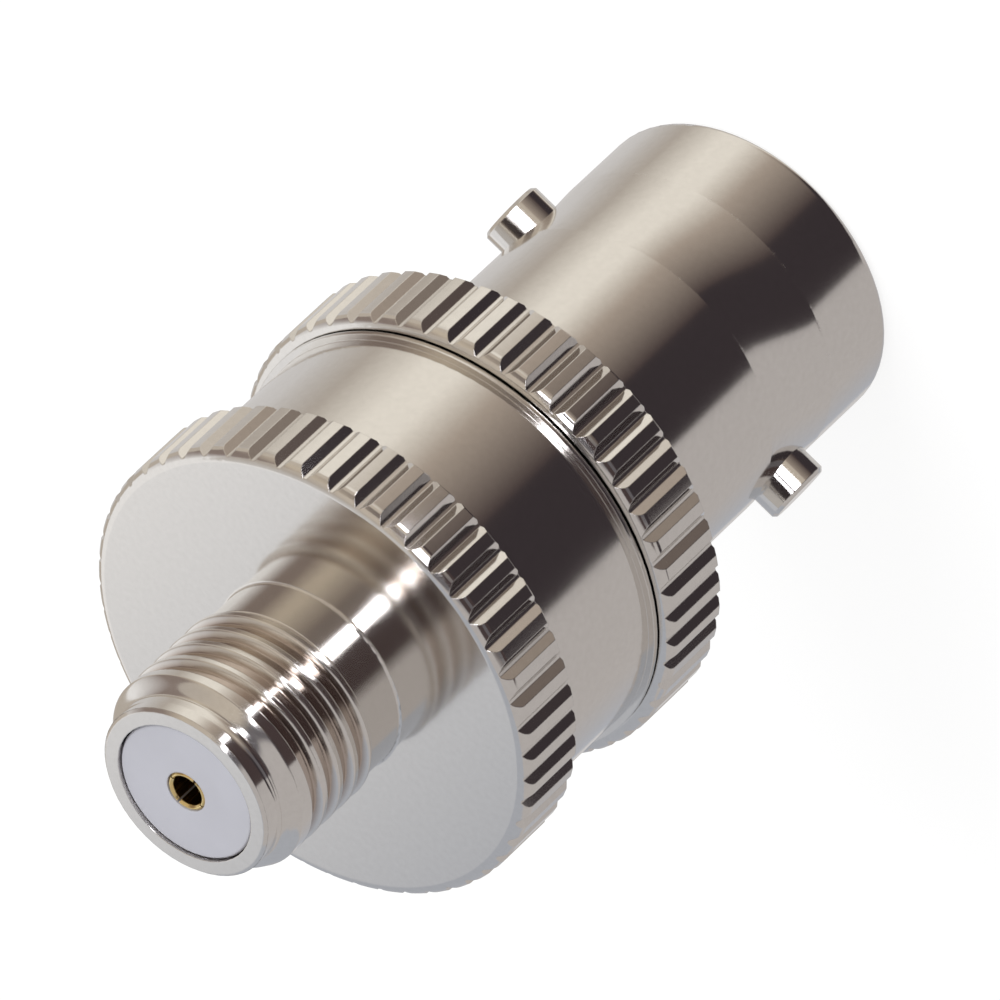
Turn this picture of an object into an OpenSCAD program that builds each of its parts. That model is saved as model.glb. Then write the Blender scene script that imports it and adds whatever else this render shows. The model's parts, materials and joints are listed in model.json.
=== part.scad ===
// Coaxial adapter between a small threaded socket and a two-stud bayonet socket.
// It stands on the bayonet mouth, with the origin at the centre of that mouth.
// +Z runs along the axis to the threaded end, and the studs lie along X. Sizes are in millimetres.

/* [Bayonet barrel] */
// Length of the barrel, from its mouth to the back ring
barrel_len = 11.4; // [10:0.1:15]
// Diameter of the deep bore that the plug's spring sleeve enters
seat_bore_d = 8.12; // [7.6:0.02:8.8]
// Wall of the barrel round the deep bore
barrel_wall = 0.82; // [0.6:0.02:1.2]
// Depth of the shoulder that stops the plug's sleeve
seat_depth = 8.4; // [7:0.1:10]
// Step from the deep bore out to the wider bore at the mouth
lead_step = 0.22; // [0.18:0.01:0.3]
// Depth of the wider bore at the mouth
lead_depth = 3.2; // [2.6:0.1:3.8]
// Length of the land at the mouth
land_len = 2.75; // [2.3:0.05:3]
// How far the land lies under the barrel's surface
land_drop = 0.04; // [0.02:0.01:0.08]
// Length of the hollowed band that carries the studs
band_len = 2.95; // [2.6:0.05:3.6]
// How far the middle of the band is hollowed under the land
band_drop = 0.05; // [0.03:0.01:0.12]
// Radius on the outer edge of the mouth
mouth_round = 0.28; // [0.15:0.01:0.3]
// Chamfer on the inner edge of the mouth
mouth_chamfer = 0.1; // [0.05:0.01:0.14]

/* [Studs] */
// Diameter of a bayonet stud
stud_d = 1.95; // [1.6:0.05:2.2]
// How far a stud stands out of the band
stud_rise = 0.81; // [0.6:0.01:1]
// Distance from the mouth to the middle of the studs
stud_z = 4.35; // [4.1:0.05:4.6]
// Chamfer round the free end of a stud
stud_chamfer = 0.1; // [0.05:0.01:0.2]

/* [Knurled rings] */
// Width of the back ring, on the bayonet shell
back_ring_w = 2.45; // [2:0.05:3]
// Width of the front ring, on the threaded shell
front_ring_w = 2.35; // [2:0.05:3]
// Height of the back ring above the middle of the body
back_ring_rise = 0.6; // [0.5:0.01:0.8]
// Height of the front ring above the middle of the body
front_ring_rise = 0.65; // [0.5:0.01:0.8]
// Radius on the front rim of each ring
ring_round = 0.37; // [0.25:0.01:0.5]
// Broken edge on the back rim of each ring
ring_break = 0.12; // [0.05:0.01:0.2]
// Number of grooves round each ring
knurl_count = 51; // [30:1:60]
// Width of a groove at the ring's surface
knurl_w = 0.55; // [0.4:0.01:0.65]
// Width of a groove's floor
knurl_floor_w = 0.1; // [0.04:0.01:0.2]
// Depth of a groove
knurl_depth = 0.2; // [0.12:0.01:0.35]

/* [Middle] */
// Length of the plain middle, from the lip to the front ring
mid_len = 4.19; // [3.4:0.01:5.5]
// Wall of the middle round the spigot
mid_wall = 1.62; // [1.2:0.01:2]
// Height of the thin lip at the seam between the shells
lip_rise = 0.2; // [0.1:0.01:0.3]
// Width of that lip
lip_w = 0.15; // [0.1:0.01:0.3]
// Width of the open seam under the lip
seam_w = 0.06; // [0.04:0.01:0.12]
// Depth of the open seam
seam_depth = 0.35; // [0.2:0.01:0.5]

/* [Threaded nose] */
// Length of the nose, from its face to the front ring
nose_len = 5.75; // [5.2:0.05:7]
// Diameter over the thread's crests
thread_d = 6.3; // [5.9:0.01:6.9]
// Pitch of the thread, 36 to the inch
thread_pitch = 0.7056; // [0.6:0.0001:0.75]
// Turns of thread
thread_turns = 5; // [3:1:5]
// Length of the plain lead in front of the thread
lead_len = 0.95; // [0.8:0.05:1.2]
// Wall of the nose under the thread
nose_wall = 0.51; // [0.35:0.01:0.6]
// How far the plain neck lies under the thread's crests
neck_drop = 0.15; // [0.05:0.01:0.25]
// Fillet between the neck and the front ring's face
neck_fillet = 0.07; // [0.05:0.01:0.3]
// Chamfer on the outer edge of the nose's face
nose_chamfer = 0.09; // [0.04:0.01:0.15]

/* [Inner bores] */
// Step from the deep bore in to the insulator's bore
chamber_step = 0.56; // [0.4:0.01:0.8]
// Length of the shoulder that carries the rear insulator
shoulder_len = 2.6; // [2:0.05:3.2]
// Step from the insulator's bore out to its flange's bore
flange_step = 0.53; // [0.35:0.01:0.8]
// Wall of the spigot that enters the threaded shell
spigot_wall = 0.93; // [0.7:0.01:1.2]
// Thickness of the web behind the front ring's face
web_t = 1.7; // [1.3:0.05:2.1]
// Gap between the spigot's end and the web
spigot_gap = 0.4; // [0.2:0.05:0.8]
// Chamfer on the mouth of the bore that takes the spigot
socket_chamfer = 0.25; // [0.1:0.01:0.4]

/* [Insulators] */
// Thickness of the rear insulator's flange
rear_flange_t = 2.5; // [2:0.05:2.8]
// Diameter of the rear insulator's nose
rear_nose_d = 4.8; // [4.2:0.05:5.4]
// Gap between the wider bore's end and the face of the rear insulator's nose
rear_nose_gap = 0.2; // [0.1:0.01:0.4]
// Thickness of the front insulator's flange
front_flange_t = 1; // [0.7:0.05:1.3]
// How far the front insulator lies under the nose's face
front_recess = 0.08; // [0.04:0.01:0.2]
// Thickness of the support bead
bead_t = 1.2; // [0.8:0.05:1.6]
// Chamfer on the edges of the insulators
insulator_chamfer = 0.05; // [0.03:0.01:0.15]

/* [Clamp sleeve] */
// Wall of the sleeve that clamps the insulators
sleeve_wall = 1.4; // [1.1:0.05:1.6]
// Wall of the sleeve round the front insulator's flange
sleeve_rim = 0.55; // [0.4:0.01:0.8]

/* [Contacts] */
// Diameter of the front contact
front_contact_d = 1.24; // [1.18:0.01:1.5]
// Bore of the front contact
front_socket_d = 0.94; // [0.9:0.01:1]
// Depth of the front contact's bore
front_socket_depth = 3; // [2.5:0.1:4]
// Width of the front contact's slots
front_slot_w = 0.06; // [0.05:0.01:0.14]
// Diameter of the rear contact
rear_contact_d = 2.1; // [1.95:0.05:2.4]
// Bore of the rear contact
rear_socket_d = 1.4; // [1.3:0.01:1.5]
// Depth of the rear contact's bore
rear_socket_depth = 4; // [3:0.1:5]
// Width of the rear contact's slots
rear_slot_w = 0.24; // [0.14:0.01:0.26]
// Recess of the rear contact in its insulator's nose
rear_recess = 0.2; // [0.1:0.01:0.4]
// Height of the collar at the back of each contact
collar_rise = 0.4; // [0.25:0.01:0.6]
// Length of that collar
collar_len = 0.8; // [0.5:0.05:1]
// Diameter of the pin that joins the contacts
pin_d = 1.2; // [1:0.05:1.5]
// Diameter of the pin's tails
tail_d = 0.6; // [0.5:0.02:0.7]
// Length of each tail
tail_len = 1.1; // [0.8:0.05:1.4]
// Lead-in chamfer at the mouth of each contact
contact_chamfer = 0.06; // [0.03:0.01:0.08]

/* [Fits] */
// Radial clearance of the spigot in the threaded shell
shell_fit = 0.02; // [0.01:0.01:0.05]
// Radial clearance of the insulators and the sleeve in their bores
bead_fit = 0.03; // [0.01:0.01:0.06]
// Radial clearance of contacts, pin and studs in their holes
press_fit = 0.01; // [0.005:0.005:0.03]

/* [Hidden] */
$fn = 96;
over = seat_bore_d;                     // overrun of every cut
nickel = [0.79, 0.77, 0.74];
gold = [0.86, 0.68, 0.32];
brass = [0.78, 0.62, 0.36];
fluoropolymer = [0.93, 0.93, 0.96];
slot_share = 0.75;                      // slot length as a share of a contact's bore
thread_flank_angle = 30;
thread_depth_share = 0.6134;            // depth of the thread as a share of its pitch

// Radii, worked outwards from the deep bore
seat_r = seat_bore_d / 2;
barrel_r = seat_r + barrel_wall;
land_r = barrel_r - land_drop;
band_r = land_r - band_drop;
lead_r = seat_r + lead_step;
chamber_r = seat_r - chamber_step;
flange_bore_r = chamber_r + flange_step;
spigot_r = flange_bore_r + spigot_wall;
socket_r = spigot_r + shell_fit;
mid_r = socket_r + mid_wall;
lip_r = mid_r + lip_rise;
back_ring_r = mid_r + back_ring_rise;
front_ring_r = mid_r + front_ring_rise;

// Radii of the nose, worked inwards from the thread's crests
thread_r = thread_d / 2;
root_r = thread_r - thread_depth_share * thread_pitch;
neck_r = thread_r - neck_drop;
nose_bore_r = root_r - nose_wall;
crest_half_w = thread_pitch / 2 - (thread_r - root_r) * tan(thread_flank_angle);

// Radii of the inner pieces
sleeve_r = flange_bore_r - bead_fit;
sleeve_bore_r = sleeve_r - sleeve_wall;
rim_bore_r = sleeve_r - sleeve_rim;
front_contact_r = front_contact_d / 2;
rear_contact_r = rear_contact_d / 2;
pin_r = pin_d / 2;
tail_r = tail_d / 2;
stud_r = stud_d / 2;

// Heights, from the mouth up
ring2_z = barrel_len;
seam_z = ring2_z + back_ring_w;
lip_z = seam_z + seam_w;
mid_z = lip_z + lip_w;
ring1_z = mid_z + mid_len;
face_z = ring1_z + front_ring_w;
top_z = face_z + nose_len;
web_z = face_z - web_t;
spigot_z = web_z - spigot_gap;
hollow_r = pow(band_len / (sqrt(band_drop) + sqrt(band_drop + land_drop)), 2) / 2;
hollow_z = land_len + sqrt(2 * hollow_r * band_drop);
thread_top_z = top_z - lead_len;
thread_z = thread_top_z - thread_turns * thread_pitch;
rear_nose_z = lead_depth + rear_nose_gap;
rear_tip_z = rear_nose_z + rear_recess;
shoulder_z = seat_depth + shoulder_len;
rear_back_z = shoulder_z + rear_flange_t;
front_back_z = web_z - front_flange_t;
front_top_z = top_z - front_recess;
pin_z = rear_back_z + collar_len;
pin_top_z = front_back_z - collar_len;
bead_z = (pin_z + pin_top_z - bead_t) / 2;

// Outline of one turn of thread with its root on each side, at a height
function thread_turn(z) = [
    [root_r, z],
    [thread_r, z + thread_pitch / 2 - crest_half_w],
    [thread_r, z + thread_pitch / 2 + crest_half_w]
];

// A round piece from its outline of [radius, height] points
module turned(points) {
    rotate_extrude() polygon(points);
}

// A plain round bar between two heights, solid or taken away
module bar(radius, z_from, z_to) {
    translate([0, 0, z_from]) cylinder(r = radius, h = z_to - z_from);
}

// Ring with straight grooves all round, a rounded top rim and a broken bottom edge
module knurled_ring(radius, width) {
    intersection() {
        linear_extrude(width) difference() {
            circle(radius);
            for (i = [0 : knurl_count - 1])
                rotate(i * 360 / knurl_count) translate([radius, 0]) groove_outline();
        }
        rotate_extrude() {
            polygon([
                [0, 0],
                [radius - ring_break, 0],
                [radius, ring_break],
                [radius, width - ring_round],
                [0, width - ring_round]
            ]);
            square([radius - ring_round, width]);
            translate([radius - ring_round, width - ring_round]) circle(ring_round);
        }
    }
}

// Section of one knurl groove, with its sides carried on past the ring's surface
module groove_outline() {
    carried_on = knurl_depth / 2;
    slope = (knurl_w - knurl_floor_w) / 2 / knurl_depth;
    polygon([
        [-knurl_depth, -knurl_floor_w / 2],
        [carried_on, -knurl_w / 2 - slope * carried_on],
        [carried_on, knurl_w / 2 + slope * carried_on],
        [-knurl_depth, knurl_floor_w / 2]
    ]);
}

// Threaded nose with its lead and neck, solid
module nose() {
    turned(concat(
        [[0, face_z - web_t / 2], [neck_r, face_z - web_t / 2]],
        [[neck_r, thread_z + thread_pitch / 2 - crest_half_w - neck_drop * tan(thread_flank_angle)]],
        [for (i = [0 : thread_turns - 1]) each i == 0
            ? [thread_turn(thread_z)[1], thread_turn(thread_z)[2]]
            : thread_turn(thread_z + i * thread_pitch)],
        [[root_r, thread_top_z], [root_r, top_z - nose_chamfer]],
        [[root_r - nose_chamfer, top_z], [0, top_z]]
    ));
}

// Round fillet where the neck meets the front ring's face
module neck_root() {
    rotate_extrude() difference() {
        translate([neck_r - neck_fillet, face_z - neck_fillet]) square(2 * neck_fillet);
        translate([neck_r + neck_fillet, face_z + neck_fillet]) circle(neck_fillet);
    }
}

// Front shell: threaded nose, front ring, plain middle and the lip at the seam
module threaded_shell() {
    color(nickel) difference() {
        union() {
            nose();
            neck_root();
            translate([0, 0, ring1_z]) knurled_ring(front_ring_r, front_ring_w);
            turned([
                [0, seam_z],
                [lip_r - seam_depth, seam_z],
                [lip_r - seam_depth, lip_z],
                [lip_r, lip_z],
                [lip_r, mid_z],
                [mid_r, mid_z],
                [mid_r, ring1_z + front_ring_w / 2],
                [0, ring1_z + front_ring_w / 2]
            ]);
        }
        bar(nose_bore_r, web_z - over, top_z + over);
        turned([
            [0, seam_z - over],
            [socket_r + socket_chamfer + over, seam_z - over],
            [socket_r, seam_z + socket_chamfer],
            [socket_r, web_z],
            [0, web_z]
        ]);
    }
}

// Rear shell: bayonet barrel, back ring and the spigot that enters the front shell
module bayonet_shell() {
    color(nickel) difference() {
        union() {
            barrel();
            translate([0, 0, ring2_z]) knurled_ring(back_ring_r, back_ring_w);
            bar(spigot_r, seam_z - back_ring_w / 2, spigot_z);
        }
        turned([
            [0, -over],
            [lead_r + mouth_chamfer + over, -over],
            [lead_r, mouth_chamfer],
            [lead_r, lead_depth],
            [seat_r, lead_depth],
            [seat_r, seat_depth],
            [chamber_r, seat_depth],
            [chamber_r, shoulder_z],
            [flange_bore_r, shoulder_z],
            [flange_bore_r, spigot_z + over],
            [0, spigot_z + over]
        ]);
        for (side = [0, 180])
            rotate(side) stud_bar(stud_r + press_fit, 0, barrel_r + over);
    }
}

// Outside of the barrel: rounded mouth, land, plain length and the hollow turned between them
module barrel() {
    difference() {
        rotate_extrude() {
            translate([land_r - mouth_round, mouth_round]) circle(mouth_round);
            square([land_r - mouth_round, hollow_z]);
            translate([0, mouth_round]) square([land_r, hollow_z - mouth_round]);
            translate([0, hollow_z]) square([barrel_r, ring2_z + back_ring_w / 2 - hollow_z]);
        }
        translate([0, 0, hollow_z]) rotate_extrude()
            translate([band_r + hollow_r, 0]) circle(hollow_r);
    }
}

// Round bar along +X at the height of the studs
module stud_bar(radius, from_x, to_x) {
    translate([from_x, 0, stud_z]) rotate([0, 90, 0]) cylinder(r = radius, h = to_x - from_x);
}

// Bayonet stud, pressed into the barrel's wall from outside
module stud(side) {
    tip_x = band_r + stud_rise;
    color(nickel) rotate(side) {
        stud_bar(stud_r, seat_r + press_fit, tip_x - stud_chamfer);
        translate([tip_x - stud_chamfer, 0, stud_z]) rotate([0, 90, 0])
            cylinder(r1 = stud_r, r2 = stud_r - stud_chamfer, h = stud_chamfer);
    }
}

module stud_left() { stud(180); }

module stud_right() { stud(0); }

// Front insulator: a tube in the nose with a flange against the web
module front_insulator() {
    body_r = nose_bore_r - bead_fit;
    flange_r = rim_bore_r - bead_fit;
    color(fluoropolymer) difference() {
        turned([
            [0, front_back_z],
            [flange_r, front_back_z],
            [flange_r, web_z],
            [body_r, web_z],
            [body_r, front_top_z - insulator_chamfer],
            [body_r - insulator_chamfer, front_top_z],
            [0, front_top_z]
        ]);
        bar(front_contact_r + press_fit, front_back_z - over, front_top_z + over);
    }
}

// Rear insulator: a nose round the contact, a body on the shoulder and a flange
module rear_insulator() {
    nose_r = rear_nose_d / 2;
    body_r = chamber_r - bead_fit;
    flange_r = flange_bore_r - bead_fit;
    color(fluoropolymer) difference() {
        turned([
            [0, rear_nose_z],
            [nose_r - insulator_chamfer, rear_nose_z],
            [nose_r, rear_nose_z + insulator_chamfer],
            [nose_r, seat_depth],
            [body_r, seat_depth],
            [body_r, shoulder_z],
            [flange_r, shoulder_z],
            [flange_r, rear_back_z],
            [0, rear_back_z]
        ]);
        bar(rear_contact_r + press_fit, rear_nose_z - over, rear_back_z + over);
    }
}

// Sleeve that carries the shield through the middle and clamps both insulators
module clamp_sleeve() {
    color(brass) difference() {
        bar(sleeve_r, rear_back_z, web_z);
        bar(sleeve_bore_r, rear_back_z - over, web_z + over);
        bar(rim_bore_r, front_back_z, web_z + over);
    }
}

// Washer that holds the joining pin in the middle of the sleeve
module support_bead() {
    color(fluoropolymer) difference() {
        bar(sleeve_bore_r - bead_fit, bead_z, bead_z + bead_t);
        bar(pin_r + press_fit, bead_z - over, bead_z + bead_t + over);
    }
}

// Pin between the two contacts, with a thinner tail pressed into each
module centre_pin() {
    color(gold) {
        bar(pin_r, pin_z, pin_top_z);
        bar(tail_r, pin_z - tail_len, pin_z);
        bar(tail_r, pin_top_z, pin_top_z + tail_len);
    }
}

// Slotted socket that points up, with its mouth at z = 0 and its collar below
module contact(radius, bore_r, bore_depth, slot_w, length) {
    difference() {
        turned([
            [0, -length - collar_len],
            [radius + collar_rise, -length - collar_len],
            [radius + collar_rise, -length],
            [radius, -length],
            [radius, -contact_chamfer],
            [radius - contact_chamfer, 0],
            [0, 0]
        ]);
        turned([
            [0, -bore_depth],
            [bore_r, -bore_depth],
            [bore_r, -contact_chamfer],
            [bore_r + contact_chamfer + over, over],
            [0, over]
        ]);
        bar(tail_r + press_fit, -length - collar_len - over, tail_len - length);
        for (turn = [0, 90])
            rotate(turn) translate([-over / 2, -slot_w / 2, -bore_depth * slot_share])
                cube([over, slot_w, bore_depth * slot_share + over]);
    }
}

// Front socket contact, with its mouth level with the insulator
module front_contact() {
    color(gold) translate([0, 0, front_top_z])
        contact(front_contact_r, front_socket_d / 2, front_socket_depth, front_slot_w,
            front_top_z - front_back_z);
}

// Rear socket contact, recessed in its insulator's nose
module rear_contact() {
    color(gold) translate([0, 0, rear_tip_z]) mirror([0, 0, 1])
        contact(rear_contact_r, rear_socket_d / 2, rear_socket_depth, rear_slot_w,
            rear_back_z - rear_tip_z);
}

threaded_shell();
bayonet_shell();
stud_left();
stud_right();
front_insulator();
front_contact();
centre_pin();
support_bead();
clamp_sleeve();
rear_insulator();
rear_contact();
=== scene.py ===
"""Studio picture of a coaxial adapter that stands on its bayonet mouth.

The threaded end points up, +Z, and the two studs lie along X. Places are in metres.
"""
import json
import math

import bmesh
import bpy
from mathutils import Matrix, Vector


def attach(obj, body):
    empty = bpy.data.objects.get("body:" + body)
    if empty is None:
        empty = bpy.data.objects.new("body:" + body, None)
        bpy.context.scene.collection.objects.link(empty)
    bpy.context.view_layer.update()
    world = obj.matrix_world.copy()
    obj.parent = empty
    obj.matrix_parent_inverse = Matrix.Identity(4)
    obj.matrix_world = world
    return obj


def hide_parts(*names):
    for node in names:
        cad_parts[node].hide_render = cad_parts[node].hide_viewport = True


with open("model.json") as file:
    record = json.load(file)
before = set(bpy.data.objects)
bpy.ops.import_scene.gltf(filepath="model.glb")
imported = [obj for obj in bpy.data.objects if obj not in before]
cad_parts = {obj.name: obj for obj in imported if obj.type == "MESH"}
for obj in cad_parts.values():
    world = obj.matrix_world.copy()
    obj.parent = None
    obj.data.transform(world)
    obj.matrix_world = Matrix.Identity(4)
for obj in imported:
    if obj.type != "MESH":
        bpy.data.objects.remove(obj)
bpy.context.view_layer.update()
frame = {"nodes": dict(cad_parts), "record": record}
nodes = frame["nodes"]

MM = 0.001


# Camera: a long lens that looks down past the threaded end

CAMERA_PLACE = Vector((27.5958, 393.833, 314.2742)) * MM
CAMERA_RIGHT = Vector((0.713926, 0.394455, -0.578540))
CAMERA_UP = Vector((-0.698028, 0.466252, -0.543480))
CAMERA_BACK = Vector((0.055371, 0.791842, 0.608210))
CAMERA_LENS = 655.2


def place_camera():
    """A long lens, looking down past the threaded end to the mouth."""
    lens = bpy.data.cameras.new("camera")
    lens.lens = CAMERA_LENS
    lens.sensor_width = 36.0
    lens.sensor_fit = "HORIZONTAL"
    lens.clip_start = 0.01
    lens.clip_end = 20.0
    camera = bpy.data.objects.new("camera", lens)
    turned = Matrix((CAMERA_RIGHT, CAMERA_UP, CAMERA_BACK)).transposed().to_4x4()
    camera.matrix_world = Matrix.Translation(CAMERA_PLACE) @ turned
    bpy.context.scene.collection.objects.link(camera)
    bpy.context.scene.camera = camera


# Shader nodes

def add(tree, kind, **settings):
    """A node of that kind with its settings."""
    node = tree.nodes.new(kind)
    for name, value in settings.items():
        setattr(node, name, value)
    return node


def fill(node, **values):
    """Sets the node's unlinked inputs by name, with spaces written as underscores."""
    for name, value in values.items():
        node.inputs[name.replace("_", " ")].default_value = value
    return node


def math_node(tree, operation, a, b=0.5, clamp=False):
    """A Math node between two sockets or numbers; returns its output."""
    node = add(tree, "ShaderNodeMath", operation=operation, use_clamp=clamp)
    for socket, value in zip(node.inputs, (a, b)):
        if isinstance(value, (int, float)):
            socket.default_value = value
        else:
            tree.links.new(value, socket)
    return node.outputs[0]


def new_group(name, inputs, outputs):
    """An empty shader group with those sockets; returns the tree, its input and its output."""
    tree = bpy.data.node_groups.new(name, "ShaderNodeTree")
    for socket, kind, value in inputs:
        item = tree.interface.new_socket(name=socket, in_out="INPUT", socket_type=kind)
        item.default_value = value
    for socket, kind in outputs:
        tree.interface.new_socket(name=socket, in_out="OUTPUT", socket_type=kind)
    return tree, add(tree, "NodeGroupInput"), add(tree, "NodeGroupOutput")


def object_place(tree):
    """The point on the piece, in the object's frame, and its X, Y and Z."""
    place = add(tree, "ShaderNodeTexCoord").outputs["Object"]
    parts = add(tree, "ShaderNodeSeparateXYZ")
    tree.links.new(place, parts.inputs[0])
    return place, parts.outputs


def axis_distance(tree, parts):
    """How far the point is from the axis."""
    squares = [math_node(tree, "MULTIPLY", parts[axis], parts[axis]) for axis in ("X", "Y")]
    return math_node(tree, "SQRT", math_node(tree, "ADD", *squares))


def speckle_group():
    """Fine grain and soft clouds of a plated surface, as two masks."""
    tree, given, made = new_group(
        "plating_speckle",
        [("Scale", "NodeSocketFloat", 5000.0), ("Clouds", "NodeSocketFloat", 250.0)],
        [("Grain", "NodeSocketFloat"), ("Cloud", "NodeSocketFloat")],
    )
    place, _ = object_place(tree)
    for source, output, detail in (("Scale", "Grain", 3.0), ("Clouds", "Cloud", 2.0)):
        noise = fill(add(tree, "ShaderNodeTexNoise"), Detail=detail, Roughness=0.6)
        tree.links.new(place, noise.inputs["Vector"])
        tree.links.new(given.outputs[source], noise.inputs["Scale"])
        tree.links.new(noise.outputs[0], made.inputs[output])
    return tree


def turning_group():
    """Fine rings that a lathe leaves, along the axis on a barrel and outwards on a face."""
    tree, given, made = new_group(
        "turning_marks",
        [("Scale", "NodeSocketFloat", 9000.0)],
        [("Lines", "NodeSocketFloat")],
    )
    _, parts = object_place(tree)
    along = math_node(tree, "ADD", axis_distance(tree, parts), parts["Z"])
    noise = fill(add(tree, "ShaderNodeTexNoise", noise_dimensions="1D"), Detail=2.0, Roughness=0.5)
    tree.links.new(along, noise.inputs["W"])
    tree.links.new(given.outputs["Scale"], noise.inputs["Scale"])
    tree.links.new(noise.outputs[0], made.inputs["Lines"])
    return tree


def edge_group():
    """Worn edges: a mask that is 1 on a sharp edge, and a normal that rounds it."""
    tree, given, made = new_group(
        "edge_wear",
        [("Width", "NodeSocketFloat", 0.00006)],
        [("Edge", "NodeSocketFloat"), ("Rounded", "NodeSocketVector")],
    )
    rounded = add(tree, "ShaderNodeBevel", samples=4)
    tree.links.new(given.outputs["Width"], rounded.inputs["Radius"])
    true = add(tree, "ShaderNodeNewGeometry")
    same = add(tree, "ShaderNodeVectorMath", operation="DOT_PRODUCT")
    tree.links.new(rounded.outputs[0], same.inputs[0])
    tree.links.new(true.outputs["Normal"], same.inputs[1])
    away = math_node(tree, "SUBTRACT", 1.0, same.outputs["Value"], clamp=True)
    tree.links.new(math_node(tree, "MULTIPLY", away, 4.0, clamp=True), made.inputs["Edge"])
    tree.links.new(rounded.outputs[0], made.inputs["Rounded"])
    return tree


SPECKLE = speckle_group()
TURNING = turning_group()
EDGE = edge_group()


def grouped(tree, group, **values):
    """Places a shader group with its values."""
    node = add(tree, "ShaderNodeGroup")
    node.node_tree = group
    return fill(node, **values)


def blend_colour(tree, share, low, high, blend_type="MIX"):
    """Blends two colours, given as values or sockets, by a mask; returns the output."""
    mix = add(tree, "ShaderNodeMix", data_type="RGBA", blend_type=blend_type)
    tree.links.new(share, mix.inputs["Factor"])
    for socket, colour in zip([s for s in mix.inputs if s.type == "RGBA"], (low, high)):
        if isinstance(colour, tuple):
            socket.default_value = (*colour, 1.0)
        else:
            tree.links.new(colour, socket)
    return [s for s in mix.outputs if s.type == "RGBA"][0]


def ranged(tree, value, low, high):
    """Maps a mask from 0..1 to low..high; returns the output."""
    node = add(tree, "ShaderNodeMapRange")
    fill(node, To_Min=low, To_Max=high)
    tree.links.new(value, node.inputs["Value"])
    return node.outputs[0]


def new_material(name):
    """An empty node material; returns it, its tree and its Principled shader."""
    material = bpy.data.materials.new(name)
    material.use_nodes = True
    tree = material.node_tree
    tree.nodes.clear()
    shader = add(tree, "ShaderNodeBsdfPrincipled")
    output = add(tree, "ShaderNodeOutputMaterial")
    tree.links.new(shader.outputs[0], output.inputs["Surface"])
    return material, tree, shader


def add_relief(tree, shader, speckle, turning, edge, grain, lines, strength):
    """Bumps the shader's normal with the grain and the lathe rings, over rounded edges."""
    height = math_node(
        tree, "ADD",
        math_node(tree, "MULTIPLY", speckle.outputs["Grain"], grain),
        math_node(tree, "MULTIPLY", turning.outputs["Lines"], lines),
    )
    bump = fill(add(tree, "ShaderNodeBump"), Strength=strength, Distance=0.00001)
    tree.links.new(height, bump.inputs["Height"])
    tree.links.new(edge.outputs["Rounded"], bump.inputs["Normal"])
    tree.links.new(bump.outputs[0], shader.inputs["Normal"])


# How far a scuff reaches from its rim
SCUFF_WIDTH = 0.08 * MM


def rim_group():
    """Scuffs along two rims of a barrel: a broken thin line at each of two heights."""
    tree, given, made = new_group(
        "rim_scuffs",
        [("First", "NodeSocketFloat", 0.003), ("Second", "NodeSocketFloat", 0.006)],
        [("Scuff", "NodeSocketFloat")],
    )
    place, parts = object_place(tree)
    lines = []
    for rim in ("First", "Second"):
        off = math_node(tree, "SUBTRACT", parts["Z"], given.outputs[rim])
        near = math_node(tree, "DIVIDE", math_node(tree, "ABSOLUTE", off), SCUFF_WIDTH)
        lines.append(math_node(tree, "SUBTRACT", 1.0, near, clamp=True))
    line = math_node(tree, "MAXIMUM", *lines)
    noise = fill(add(tree, "ShaderNodeTexNoise"), Scale=1100.0, Detail=4.0, Roughness=0.8)
    tree.links.new(place, noise.inputs["Vector"])
    broken = math_node(
        tree, "MULTIPLY",
        math_node(tree, "SUBTRACT", noise.outputs[0], 0.5), 6.0, clamp=True,
    )
    tree.links.new(math_node(tree, "MULTIPLY", line, broken, clamp=True), made.inputs["Scuff"])
    return tree


RIMS = rim_group()


# Painted shade in the thread's grooves: the metal is darker inside a radius and between two
# heights
ROOT_R = 3.1 * MM
ROOT_FADE = 0.14 * MM
ROOT_HEIGHTS = (21.98 * MM, 25.2 * MM)
ROOT_END_FADE = 0.1 * MM
ROOT_PAINTED_SHADE_TINT = (0.66, 0.58, 0.53)


def root_painted_shade_group():
    """How deep a point lies in the thread's grooves, the mask of their painted shade: 0 on the
    crests, 1 at their floor.
    """
    tree, _, made = new_group("thread_root_painted_shade", [], [("Root", "NodeSocketFloat")])
    _, parts = object_place(tree)
    inner = math_node(tree, "SUBTRACT", ROOT_R, axis_distance(tree, parts))
    above = math_node(tree, "SUBTRACT", parts["Z"], ROOT_HEIGHTS[0])
    below = math_node(tree, "SUBTRACT", ROOT_HEIGHTS[1], parts["Z"])
    masks = [
        math_node(tree, "DIVIDE", inner, ROOT_FADE, clamp=True),
        math_node(tree, "DIVIDE", above, ROOT_END_FADE, clamp=True),
        math_node(tree, "DIVIDE", below, ROOT_END_FADE, clamp=True),
    ]
    low = math_node(tree, "MINIMUM", masks[0], masks[1])
    tree.links.new(math_node(tree, "MINIMUM", low, masks[2]), made.inputs["Root"])
    return tree


ROOT_PAINTED_SHADE = root_painted_shade_group()


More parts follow.
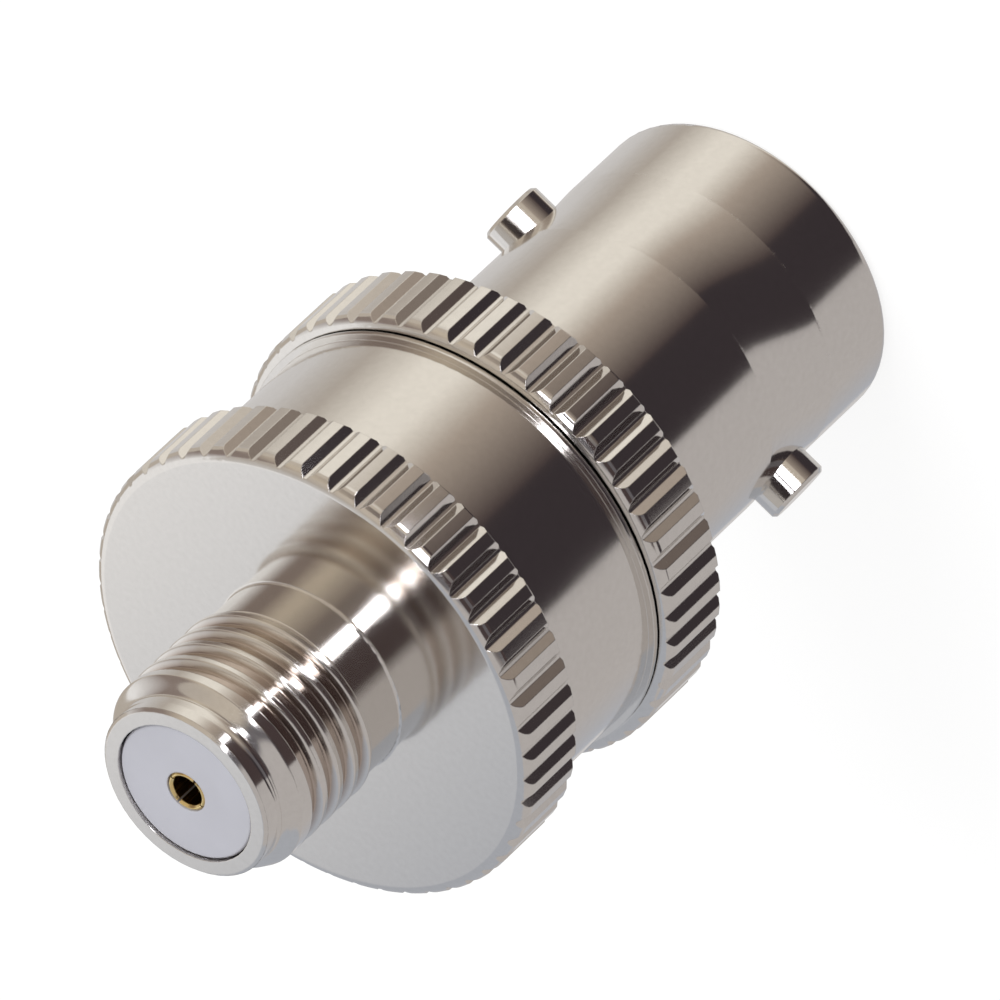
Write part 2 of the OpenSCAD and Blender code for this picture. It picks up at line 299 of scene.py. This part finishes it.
def plated_metal(name, dull, bright, rough, rims=None):
    """A metal with plating speckle, lathe rings and brighter worn edges.

    With two rim heights, in millimetres, it is the shells' metal: scuffed along those rims and
    darker in the roots of the thread, where shade is painted.
    """
    material, tree, shader = new_material(name)
    fill(shader, Metallic=1.0)
    speckle = grouped(tree, SPECKLE)
    turning = grouped(tree, TURNING)
    edge = grouped(tree, EDGE, Width=0.04 * MM)
    worn = math_node(tree, "MAXIMUM", speckle.outputs["Grain"], edge.outputs["Edge"])
    roughness = ranged(tree, speckle.outputs["Cloud"], *rough)
    if rims:
        scuffs = grouped(tree, RIMS, First=rims[0] * MM, Second=rims[1] * MM).outputs["Scuff"]
        worn = math_node(tree, "MAXIMUM", worn, scuffs)
        rougher = math_node(tree, "MULTIPLY", scuffs, 0.3)
        roughness = math_node(tree, "ADD", roughness, rougher, clamp=True)
    colour = blend_colour(tree, worn, dull, bright)
    if rims:
        # Painted shade: the colour in the thread's roots is multiplied by a darker tint
        root = grouped(tree, ROOT_PAINTED_SHADE).outputs["Root"]
        colour = blend_colour(tree, root, colour, ROOT_PAINTED_SHADE_TINT, "MULTIPLY")
    tree.links.new(colour, shader.inputs["Base Color"])
    tree.links.new(roughness, shader.inputs["Roughness"])
    add_relief(tree, shader, speckle, turning, edge, grain=0.2, lines=0.08, strength=0.12)
    return material


def white_polymer(name):
    """Turned fluoropolymer: waxy white, faintly mottled, with fine rings."""
    material, tree, shader = new_material(name)
    fill(shader, Roughness=0.4, IOR=1.36, Subsurface_Weight=0.2, Subsurface_Scale=0.0003)
    shader.inputs["Subsurface Radius"].default_value = (1.0, 1.0, 1.0)
    speckle = grouped(tree, SPECKLE, Scale=3000.0, Clouds=600.0)
    turning = grouped(tree, TURNING, Scale=6000.0)
    edge = grouped(tree, EDGE, Width=0.05 * MM)
    colour = blend_colour(tree, speckle.outputs["Cloud"], (0.54, 0.54, 0.59), (0.60, 0.60, 0.66))
    tree.links.new(colour, shader.inputs["Base Color"])
    add_relief(tree, shader, speckle, turning, edge, grain=0.4, lines=0.6, strength=0.3)
    return material


# Studio

# The direction on the object's side that faces the camera, as an angle about Z
TOWARDS_CAMERA = math.radians(86.0)
OBJECT_MIDDLE = Vector((0.0, 0.0, 13.0)) * MM
DOME_CENTRE = Vector((0.0, 0.0, 16.0)) * MM
DOME_RADIUS = 200.0 * MM
# The height, in degrees, that an upright surface mirrors to the camera
MIRRORED_HEIGHT = -37.4


def glossy_only(card):
    """The card shows in polished metal, and nowhere else."""
    card.visible_camera = False
    card.visible_diffuse = False
    card.visible_transmission = False
    card.visible_volume_scatter = False
    card.visible_shadow = False


def card_material():
    """A lit card, with its tone painted on it."""
    material = bpy.data.materials.new("studio_card")
    material.use_nodes = True
    tree = material.node_tree
    tree.nodes.clear()
    tone = add(tree, "ShaderNodeAttribute", attribute_name="tone")
    light = add(tree, "ShaderNodeEmission")
    output = add(tree, "ShaderNodeOutputMaterial")
    tree.links.new(tone.outputs["Color"], light.inputs["Color"])
    tree.links.new(light.outputs[0], output.inputs["Surface"])
    return material


CARD = card_material()


def studio_card(name, segments, shape, tone):
    """A card bent to a shape, with a tone: both are functions of its width and height, 0 to 1."""
    mesh = bpy.data.meshes.new(name)
    bm = bmesh.new()
    bmesh.ops.create_grid(bm, x_segments=segments[0], y_segments=segments[1], size=0.5)
    layer = bm.loops.layers.float_color.new("tone")
    for face in bm.faces:
        for loop in face.loops:
            loop[layer] = (*tone(loop.vert.co.x + 0.5, loop.vert.co.y + 0.5), 1.0)
    for vert in bm.verts:
        vert.co = shape(vert.co.x + 0.5, vert.co.y + 0.5)
    bm.to_mesh(mesh)
    bm.free()
    mesh.materials.append(CARD)
    card = bpy.data.objects.new(name, mesh)
    bpy.context.scene.collection.objects.link(card)
    glossy_only(card)


def blended(first, second, share):
    """The value between two numbers or tones."""
    if isinstance(first, tuple):
        return tuple(blended(a, b, share) for a, b in zip(first, second))
    return first + (second - first) * share


def direction(side, height):
    """The way to a card on the dome.

    A side is what an upright round surface mirrors there: 0 is its upper left outline as the
    camera sees it, 90 is what faces the camera and 180 is its lower right outline.
    """
    around = TOWARDS_CAMERA + 2.0 * math.radians(90.0 - side)
    up = math.radians(height)
    return Vector((math.cos(around) * math.cos(up), math.sin(around) * math.cos(up), math.sin(up)))


def dome_card(name, sides, heights, tones, lean=0.0, reach=1.0):
    """A card on the dome round the object, that leans over by so many sides a degree."""
    def shape(across, up):
        height = blended(*heights, up)
        side = blended(*sides, across) + lean * (height - MIRRORED_HEIGHT)
        return DOME_CENTRE + direction(side, height) * DOME_RADIUS * reach

    def tone(across, up):
        return blended(*tones, across)

    studio_card(name, (8, 8), shape, tone)


WHITE = (0.95, 0.94, 0.94)
PALE = (0.66, 0.64, 0.63)
TAN = (0.50, 0.45, 0.40)
CREAM = (0.93, 0.88, 0.80)
SAND = (0.45, 0.38, 0.32)
COCOA = (0.28, 0.225, 0.20)
HONEY = (0.61, 0.53, 0.43)
WALNUT = (0.22, 0.18, 0.16)
UMBER = (0.07, 0.05, 0.05)
BLACK = (0.045, 0.036, 0.040)
GREY = (0.52, 0.49, 0.48)
FAWN = (0.60, 0.53, 0.45)
SHADE = (0.14, 0.13, 0.14)
SLATE = (0.45, 0.47, 0.52)

# What the upright sides of the object mirror
LOW_HEIGHTS = (-88.0, 0.0)
LOW_LEAN = 0.45
LOW_CARDS = (
    ("low_pale", (-10.0, 22.0), (PALE, PALE)),
    ("low_pale_to_tan", (22.0, 38.0), (PALE, TAN)),
    ("low_tan_to_cream", (38.0, 53.0), (TAN, CREAM)),
    ("low_cream", (53.0, 61.0), (CREAM, CREAM)),
    ("low_cream_to_sand", (61.0, 72.0), (CREAM, SAND)),
    ("low_sand_to_umber", (72.0, 91.0), (SAND, UMBER)),
    ("low_black", (91.0, 117.0), (BLACK, BLACK)),
    ("low_grey", (117.0, 150.0), (GREY, GREY)),
    ("low_slate", (150.0, 170.0), (GREY, SLATE)),
)
# What upward faces, the neck and the floors of the thread's grooves mirror
HIGH_HEIGHTS = (0.0, 46.0)
HIGH_CARDS = (
    ("high_white", (0.0, 20.0), (WHITE, WHITE)),
    ("high_white_to_cocoa", (20.0, 34.0), (WHITE, COCOA)),
    ("high_cocoa", (34.0, 43.0), (COCOA, COCOA)),
    ("high_cocoa_to_honey", (43.0, 54.0), (COCOA, HONEY)),
    ("high_honey", (54.0, 58.0), (HONEY, HONEY)),
    ("high_honey_to_walnut", (58.0, 75.0), (HONEY, WALNUT)),
    ("high_walnut", (75.0, 93.0), (WALNUT, WALNUT)),
    ("high_black", (93.0, 111.0), (UMBER, UMBER)),
    ("high_black_to_grey", (111.0, 119.0), (UMBER, GREY)),
    ("high_grey", (119.0, 150.0), (GREY, GREY)),
    ("high_slate", (150.0, 180.0), (SLATE, SLATE)),
)
# What the flanks of the thread that slope upwards mirror
TOP_HEIGHTS = (46.0, 90.0)
TOP_CARDS = (
    ("top_pale_to_tan", (0.0, 34.0), (PALE, TAN)),
    ("top_tan_to_fawn", (34.0, 60.0), (TAN, FAWN)),
    ("top_fawn", (60.0, 74.0), (FAWN, FAWN)),
    ("top_fawn_to_shade", (74.0, 88.0), (FAWN, SHADE)),
    ("top_shade", (88.0, 100.0), (SHADE, SHADE)),
    ("top_shade_to_grey", (100.0, 106.0), (SHADE, GREY)),
    ("top_grey", (106.0, 150.0), (GREY, GREY)),
    ("top_slate", (150.0, 180.0), (SLATE, SLATE)),
)
# A row just in front of the join between the low and the high cards
EDGE_HEIGHTS = (-12.0, 12.0)
EDGE_REACH = 0.98
EDGE_CARDS = (
    ("edge_tan", (0.0, 60.0), (TAN, FAWN)),
    ("edge_fawn", (60.0, 88.0), (FAWN, FAWN)),
    ("edge_fawn_to_shade", (88.0, 96.0), (FAWN, SHADE)),
    ("edge_shade", (96.0, 114.0), (SHADE, SHADE)),
    ("edge_grey", (114.0, 150.0), (GREY, GREY)),
    ("edge_slate", (150.0, 180.0), (SLATE, SLATE)),
)
# Small bright cards in front of the others: sides, heights and reach
LIGHT = (6.0, 6.0, 6.4)
LIGHT_CARDS = (
    ("light_card", (85.0, 92.0), (34.0, 42.0), 0.97),
    ("light_strip", (84.5, 88.5), (8.0, 67.0), 0.96),
)

# Near cards beside the middle, which only the threaded nose mirrors: sides and tones
NEAR_REACH = 14.0 * MM
NEAR_HEIGHTS = (15.5 * MM, 18.5 * MM)
NEAR_CARDS = (
    ("near_light", (81.5, 84.5), (LIGHT, LIGHT)),
    ("near_black", (86.0, 116.0), (UMBER, UMBER)),
    ("near_grey", (116.0, 150.0), (GREY, GREY)),
)


def near_card(name, sides, tones):
    """An upright card close to the object."""
    def shape(across, up):
        around = TOWARDS_CAMERA + 1.8 * math.radians(90.0 - blended(*sides, across))
        flat = Vector((math.cos(around), math.sin(around), 0.0)) * NEAR_REACH
        return flat + Vector((0.0, 0.0, blended(*NEAR_HEIGHTS, up)))

    studio_card(name, (8, 1), shape, lambda across, up: blended(*tones, across))


def back_card():
    """A near card behind the object, pale to cool, that its flat upward faces mirror."""
    centre = direction(0.0, -MIRRORED_HEIGHT)
    right = Vector((0.0, 0.0, 1.0)).cross(centre).normalized() * 22.0 * MM
    above = centre.cross(right.normalized()) * 40.0 * MM

    def shape(across, up):
        return DOME_CENTRE + centre * 60.0 * MM + right * (across - 0.5) + above * (up - 0.5)

    studio_card("back_card", (4, 4), shape, lambda across, up: blended(WHITE, SLATE, across))


def seen_directly(tree):
    """1 for what the camera sees itself or through something clear, and 0 elsewhere."""
    path = add(tree, "ShaderNodeLightPath").outputs
    return math_node(tree, "MAXIMUM", path["Is Camera Ray"], path["Is Transmission Ray"])


def lay_floor():
    """A white floor that keeps the object's soft shadow."""
    mesh = bpy.data.meshes.new("floor")
    bm = bmesh.new()
    bmesh.ops.create_circle(bm, cap_ends=True, segments=64, radius=1.5)
    bm.to_mesh(mesh)
    bm.free()
    floor = bpy.data.objects.new("floor", mesh)
    bpy.context.scene.collection.objects.link(floor)
    material = bpy.data.materials.new("floor_white")
    material.use_nodes = True
    tree = material.node_tree
    tree.nodes.clear()
    plain = fill(add(tree, "ShaderNodeBsdfDiffuse"), Color=(0.9, 0.9, 0.9, 1.0))
    lit = fill(add(tree, "ShaderNodeEmission"), Color=(1.0, 1.0, 1.0, 1.0), Strength=1.18)
    both = add(tree, "ShaderNodeMixShader")
    tree.links.new(math_node(tree, "MULTIPLY", seen_directly(tree), 0.7), both.inputs[0])
    tree.links.new(plain.outputs[0], both.inputs[1])
    tree.links.new(lit.outputs[0], both.inputs[2])
    output = add(tree, "ShaderNodeOutputMaterial")
    tree.links.new(both.outputs[0], output.inputs["Surface"])
    mesh.materials.append(material)
    floor.visible_glossy = False


def light_world():
    """Even pale light all round, and white behind the floor's edge."""
    world = bpy.data.worlds.new("world")
    bpy.context.scene.world = world
    world.use_nodes = True
    tree = world.node_tree
    tree.nodes.clear()
    strength = ranged(tree, seen_directly(tree), 0.6, 1.0)
    back = fill(add(tree, "ShaderNodeBackground"), Color=(1.0, 1.0, 1.0, 1.0))
    tree.links.new(strength, back.inputs["Strength"])
    output = add(tree, "ShaderNodeOutputWorld")
    tree.links.new(back.outputs[0], output.inputs["Surface"])


def soft_light(name, place, size, power):
    """A square softbox that points at the object's middle and doesn't show in the metal."""
    light = bpy.data.lights.new(name, "AREA")
    light.shape = "SQUARE"
    light.size = size
    light.energy = power
    lamp = bpy.data.objects.new(name, light)
    lamp.location = place
    aim = OBJECT_MIDDLE - Vector(place)
    lamp.rotation_euler = aim.to_track_quat("-Z", "Y").to_euler()
    lamp.visible_glossy = False
    bpy.context.scene.collection.objects.link(lamp)


def set_studio():
    """Floor, light and cards."""
    lay_floor()
    light_world()
    soft_light("key_light", (-0.35, 0.25, 0.45), 0.4, 1.7)
    for name, sides, tones in LOW_CARDS:
        dome_card(name, sides, LOW_HEIGHTS, tones, LOW_LEAN)
    for name, sides, tones in HIGH_CARDS:
        dome_card(name, sides, HIGH_HEIGHTS, tones)
    for name, sides, tones in NEAR_CARDS:
        near_card(name, sides, tones)
    for name, sides, tones in TOP_CARDS:
        dome_card(name, sides, TOP_HEIGHTS, tones)
    for name, sides, tones in EDGE_CARDS:
        dome_card(name, sides, EDGE_HEIGHTS, tones, reach=EDGE_REACH)
    for name, sides, heights, reach in LIGHT_CARDS:
        dome_card(name, sides, heights, (LIGHT, LIGHT), reach=reach)
    back_card()


# Thread: the solid's plain rings become one right-handed helix

NOSE_TOP = 26.35 * MM
PITCH = 0.7056 * MM
CREST_R = 3.15 * MM
VALLEY_R = 2.93 * MM
NECK_R = 3.0 * MM
LEAD_R = 2.717 * MM
TRACE_R = 2.745 * MM
# Shares of one turn: half the crest, and where the flank ends
CREST_SHARE = 0.12
VALLEY_SHARE = 0.30
# Depth under the nose's face of a crest, on the side that faces the camera
CREST_DEPTH = 1.32 * MM
# Depths between which one stretch turns into the next
TRACE_DEPTHS = (0.4 * MM, 0.6 * MM)
LEAD_DEPTHS = (0.70 * MM, 1.04 * MM)
NECK_DEPTHS = (4.26 * MM, 4.38 * MM)
# Depths of the lowest and the top row, where the nose meets the solid, and of the rows between
NOSE_DEPTHS = (5.683 * MM, 0.089 * MM)
ROW_DEPTHS = (4.5 * MM, 0.2 * MM)
# How far round, in radians, the first groove deepens
RUN_IN = 1.2
ROWS = 240
COLUMNS = 192


def eased(value, low, high):
    """0 below low, 1 above high and a ramp with soft ends between them."""
    share = min(max((value - low) / (high - low), 0.0), 1.0)
    return blended(share, share * share * (3.0 - 2.0 * share), 0.25)


def crest_share(turn):
    """Height of the thread from valley 0 to crest 1, at a share of a turn from the crest."""
    return 1.0 - eased(abs(turn - round(turn)), CREST_SHARE, VALLEY_SHARE)


def nose_radius(around, depth):
    """Radius of the nose at an angle about the axis and a depth under its face."""
    turn = (depth - CREST_DEPTH) / PITCH + (around - TOWARDS_CAMERA) / (2.0 * math.pi)
    share = crest_share(max(turn, 0.0))
    if turn < 1.0:
        share = blended(1.0, share, eased(2.0 * math.pi - around, 0.0, RUN_IN))
    threaded = blended(VALLEY_R, CREST_R, share)
    if depth > NECK_DEPTHS[0]:
        return blended(threaded, NECK_R, eased(depth, *NECK_DEPTHS))
    traced = crest_share(turn) * eased(depth, *TRACE_DEPTHS)
    lead = blended(LEAD_R, TRACE_R, traced)
    return blended(lead, threaded, eased(depth, *LEAD_DEPTHS))


def nose_surface():
    """The outside of the nose from the neck to the lead: points, faces and corner normals."""
    bm = bmesh.new()
    bmesh.ops.create_grid(bm, x_segments=COLUMNS, y_segments=ROWS, size=0.5)
    for vert in bm.verts:
        around = 2.0 * math.pi * (vert.co.x + 0.5)
        along = vert.co.y + 0.5
        depth = blended(*ROW_DEPTHS, along)
        if along < 0.001 or along > 0.999:
            depth = blended(*NOSE_DEPTHS, round(along))
        radius = nose_radius(around, depth)
        vert.co = (radius * math.cos(around), radius * math.sin(around), NOSE_TOP - depth)
    bmesh.ops.remove_doubles(bm, verts=bm.verts[:], dist=0.001 * MM)
    for face in bm.faces:
        face.smooth = True
        middle = face.calc_center_median()
        if face.normal.dot(Vector((middle.x, middle.y, 0.0))) < 0.0:
            face.normal_flip()
    mesh = bpy.data.meshes.new("nose_surface")
    bm.to_mesh(mesh)
    bm.free()
    made = read_shading(mesh)
    bpy.data.meshes.remove(mesh)
    return made


def read_shading(mesh):
    """Points, faces and each face's corner normals."""
    points = [vert.co.copy() for vert in mesh.vertices]
    faces = [tuple(face.vertices) for face in mesh.polygons]
    corners = mesh.corner_normals
    normals = [
        [corners[loop].vector.copy() for loop in face.loop_indices] for face in mesh.polygons
    ]
    return points, faces, normals


def plain_shell():
    """The solid's own surface, without the outside of its nose."""
    points, faces, normals = read_shading(nodes["threaded_shell"].data)
    kept = []
    for face, shades in zip(faces, normals):
        middle = sum((points[i] for i in face), Vector()) / len(face)
        depth = NOSE_TOP - middle.z
        outside = math.hypot(middle.x, middle.y) > LEAD_R - 0.1 * MM
        if not (outside and NOSE_DEPTHS[1] + 0.02 * MM < depth < NOSE_DEPTHS[0] - 0.02 * MM):
            kept.append((face, shades))
    return points, [face for face, _ in kept], [shades for _, shades in kept]


def cut_thread():
    """Replaces the front shell by a copy with a helical thread."""
    points, faces, normals = [], [], []
    for part in (plain_shell(), nose_surface()):
        offset = len(points)
        points += part[0]
        faces += [tuple(i + offset for i in face) for face in part[1]]
        normals += [shade for shades in part[2] for shade in shades]
    mesh = bpy.data.meshes.new("helical_shell")
    mesh.from_pydata(points, [], faces)
    mesh.shade_smooth()
    mesh.normals_split_custom_set(normals)
    shell = bpy.data.objects.new("helical_shell", mesh)
    bpy.context.scene.collection.objects.link(shell)
    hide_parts("threaded_shell")
    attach(shell, "root")
    return shell


# Finishes

def finish_nodes(finishes):
    """Gives each shown CAD node the finish of its record slot."""
    slots = {s["node"]: s["material_slot"] for s in frame["record"]["subparts"]}
    for name, piece in nodes.items():
        for place in piece.material_slots:
            place.material = finishes[slots[name]]


bpy.context.scene.view_settings.view_transform = "Standard"
place_camera()
set_studio()
FINISHES = {
    "nickel": plated_metal(
        "nickel_plate", (0.74, 0.72, 0.69), (0.82, 0.80, 0.77), (0.08, 0.16), rims=(2.75, 5.68),
    ),
    "gold": plated_metal("gold_plate", (0.80, 0.60, 0.26), (0.90, 0.72, 0.36), (0.10, 0.20)),
    "brass": plated_metal("turned_brass", (0.72, 0.55, 0.30), (0.82, 0.66, 0.40), (0.2, 0.3)),
    "fluoropolymer": white_polymer("fluoropolymer"),
}
finish_nodes(FINISHES)
cut_thread().data.materials.append(FINISHES["nickel"])
